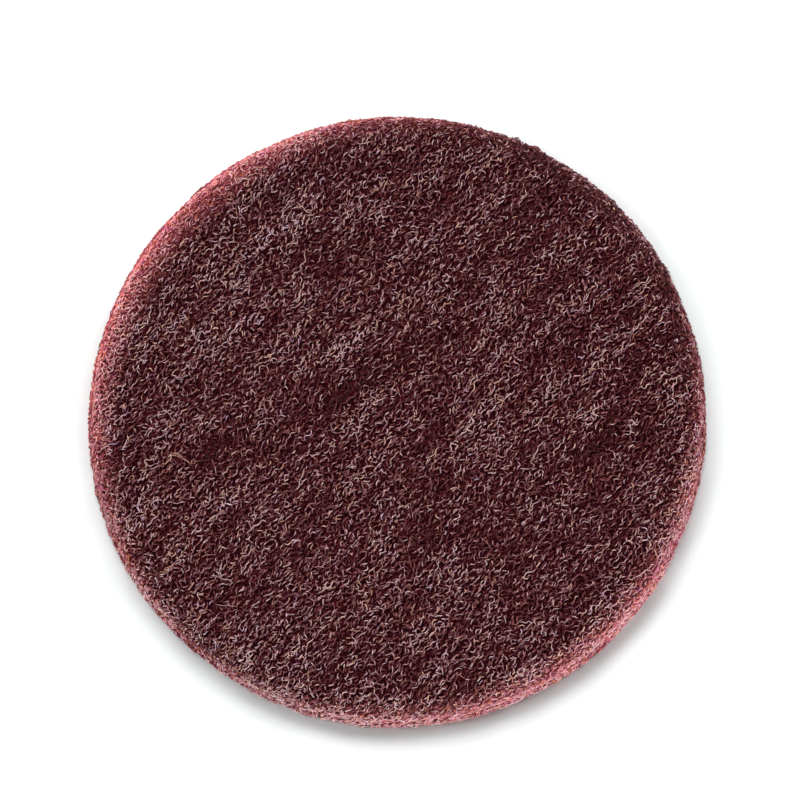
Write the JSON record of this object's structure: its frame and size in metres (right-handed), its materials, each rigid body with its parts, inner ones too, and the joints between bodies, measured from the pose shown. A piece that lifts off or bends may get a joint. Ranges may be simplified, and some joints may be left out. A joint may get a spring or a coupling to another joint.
{
  "type": "non-woven abrasive disc",
  "caption": "Round maroon pad of bonded non-woven fibre web, with a rough furrowed working face, a pale die-cut edge and a flat back face",
  "frame": {"origin": "centre of the flat back face", "axes": "+Z out of the working face, +X to the right and +Y to the top as the picture shows the disc, with the fibres' lay about 50 degrees from +X towards +Y"},
  "size_m": [0.1502, 0.1501, 0.0088],
  "materials": {
    "maroon_web": "matt maroon resin and abrasive grain on crimped fibres, with pale pink cut fibres at the edge"
  },
  "bodies": {
    "root": {"abrasive_disc": "maroon_web"}
  },
  "joints": []
}
